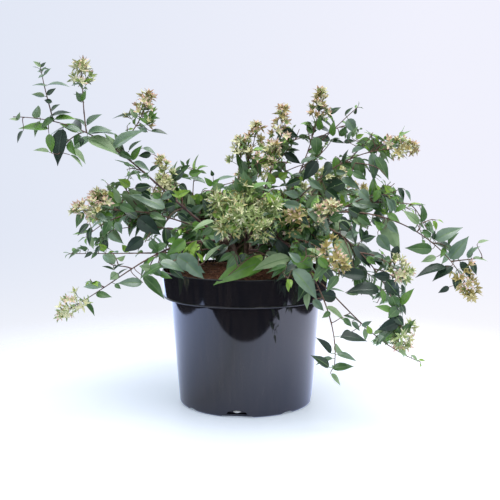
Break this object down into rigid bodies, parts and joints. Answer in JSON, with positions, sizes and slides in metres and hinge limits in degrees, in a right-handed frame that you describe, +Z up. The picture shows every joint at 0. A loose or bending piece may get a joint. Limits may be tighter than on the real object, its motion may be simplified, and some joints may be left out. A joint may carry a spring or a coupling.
{
  "type": "potted glossy abelia shrub",
  "caption": "Arching evergreen shrub with glossy oval leaves and clustered cream blossom, growing in a round black nursery pot with a deep rim band.",
  "frame": {"origin": "centre of the pot's flat underside, where it stands on the ground", "axes": "+Z up out of the pot; +X along the crown's widest spread, to the right of the side usually seen; -Y towards the viewer"},
  "size_m": [0.6328, 0.4359, 0.4467],
  "materials": {
    "pot_plastic": "gloss",
    "growing_medium": "matte",
    "bark": "matte",
    "foliage": "satin"
  },
  "bodies": {
    "root": {"bough_back_far_left": "bark", "bough_back_hanging": "bark", "bough_back_left": "bark", "bough_back_left_low": "bark", "bough_back_middle": "bark", "bough_back_right": "bark", "bough_back_right_low": "bark", "bough_front_hanging": "bark", "bough_front_right_low": "bark", "bough_left_crest": "bark", "bough_left_inner": "bark", "bough_left_low": "bark", "bough_left_middle": "bark", "bough_lower_left": "bark", "bough_right_crest": "bark", "bough_right_far": "bark", "bough_right_hanging": "bark", "bough_right_middle": "bark", "bough_right_trailing": "bark", "bough_top_left": "bark", "bough_top_middle": "bark", "bough_top_right": "bark", "bough_upper_left": "bark", "foliage_back_far_left": "foliage", "foliage_back_hanging": "foliage", "foliage_back_left": "foliage", "foliage_back_left_low": "foliage", "foliage_back_middle": "foliage", "foliage_back_right": "foliage", "foliage_back_right_low": "foliage", "foliage_front_hanging": "foliage", "foliage_front_left_low": "foliage", "foliage_front_low": "foliage", "foliage_front_middle": "foliage", "foliage_front_right": "foliage", "foliage_front_right_low": "foliage", "foliage_left_crest": "foliage", "foliage_left_inner": "foliage", "foliage_left_low": "foliage", "foliage_left_middle": "foliage", "foliage_lower_left": "foliage", "foliage_right_crest": "foliage", "foliage_right_far": "foliage", "foliage_right_hanging": "foliage", "foliage_right_middle": "foliage", "foliage_right_trailing": "foliage", "foliage_top_left": "foliage", "foliage_top_middle": "foliage", "foliage_top_right": "foliage", "foliage_upper_left": "foliage", "growing_medium": "growing_medium", "pot": "pot_plastic", "stem_back_left": "bark", "stem_back_right": "bark", "stem_front": "bark", "stem_left": "bark", "stem_left_front": "bark", "stem_right": "bark", "stem_right_front": "bark", "stem_right_low": "bark"}
  },
  "joints": []
}
